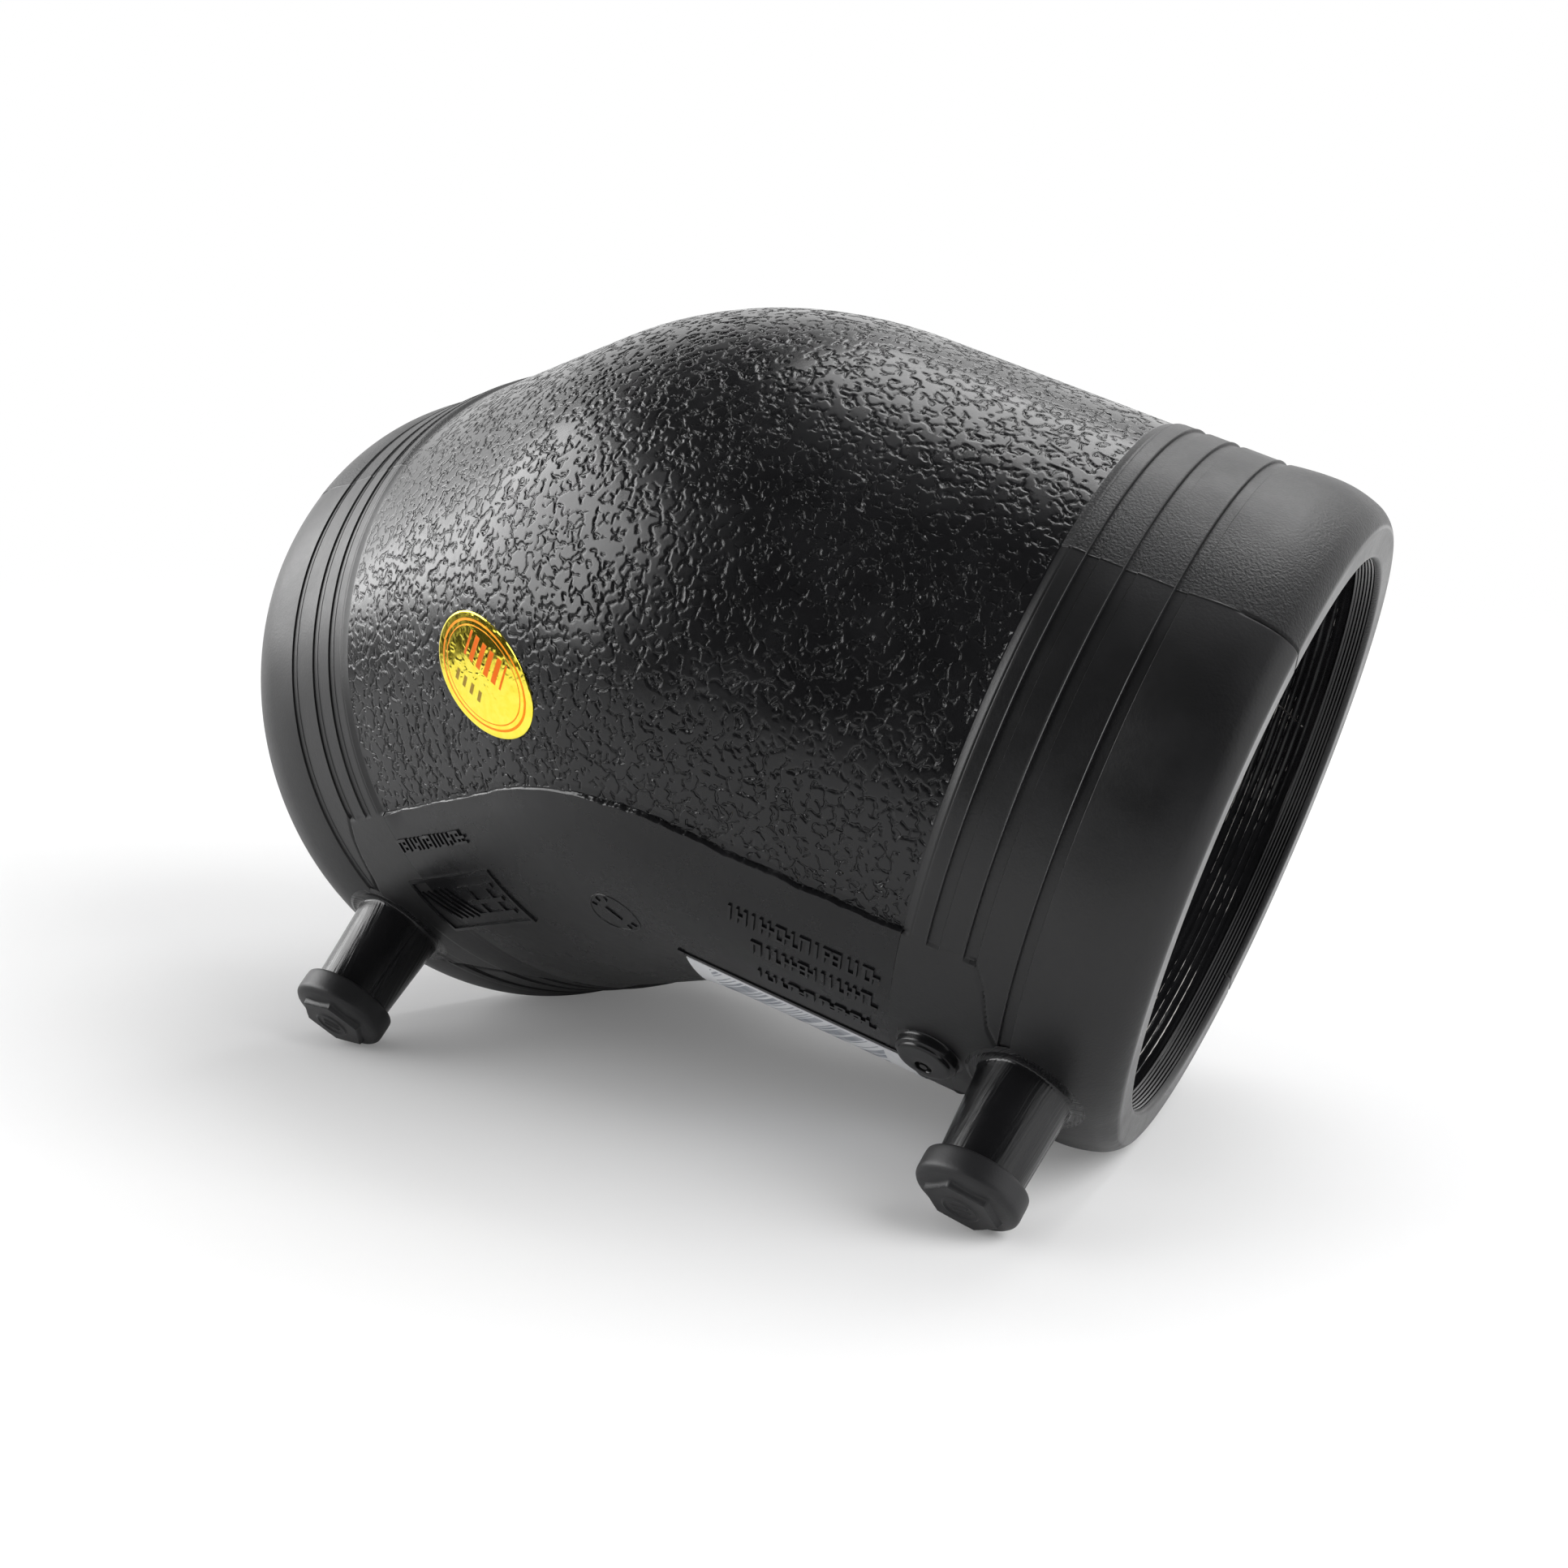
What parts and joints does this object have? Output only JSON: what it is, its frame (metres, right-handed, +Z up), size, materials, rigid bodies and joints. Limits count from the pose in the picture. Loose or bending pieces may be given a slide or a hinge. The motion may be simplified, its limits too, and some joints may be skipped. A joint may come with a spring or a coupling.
{
  "type": "electrofusion elbow",
  "caption": "Black polyethylene electrofusion elbow, 45 degrees, for 90 mm pipe, with a heating wire in both sockets and capped terminals.",
  "frame": {"origin": "on the table plane, under the middle of the resting part's bounding box", "axes": "+Z up; the bend's mirror plane is X = 0; +Y points away from the capped terminals' side as the part lies tipped on both caps and both rims"},
  "size_m": [0.1906, 0.124, 0.126],
  "materials": {
    "black_polyethylene": "moulded black polyethylene: leather grain on the barrel, satin end bands",
    "cap_plastic": "matte soft black plastic",
    "resistance_wire": "bright drawn alloy wire, partly skinned with plastic",
    "terminal_metal": "plain turned metal",
    "gold_foil": "glossy gold foil film",
    "label_paper": "white film with grey bars"
  },
  "bodies": {
    "root": {"elbow_body": "black_polyethylene", "heating_coil": "resistance_wire", "terminal_pin_left": "terminal_metal", "terminal_pin_right": "terminal_metal", "terminal_cap_left": "cap_plastic", "terminal_cap_right": "cap_plastic", "fusion_indicator_pin": "black_polyethylene", "quality_seal": "gold_foil", "barcode_label": "label_paper"}
  },
  "joints": []
}
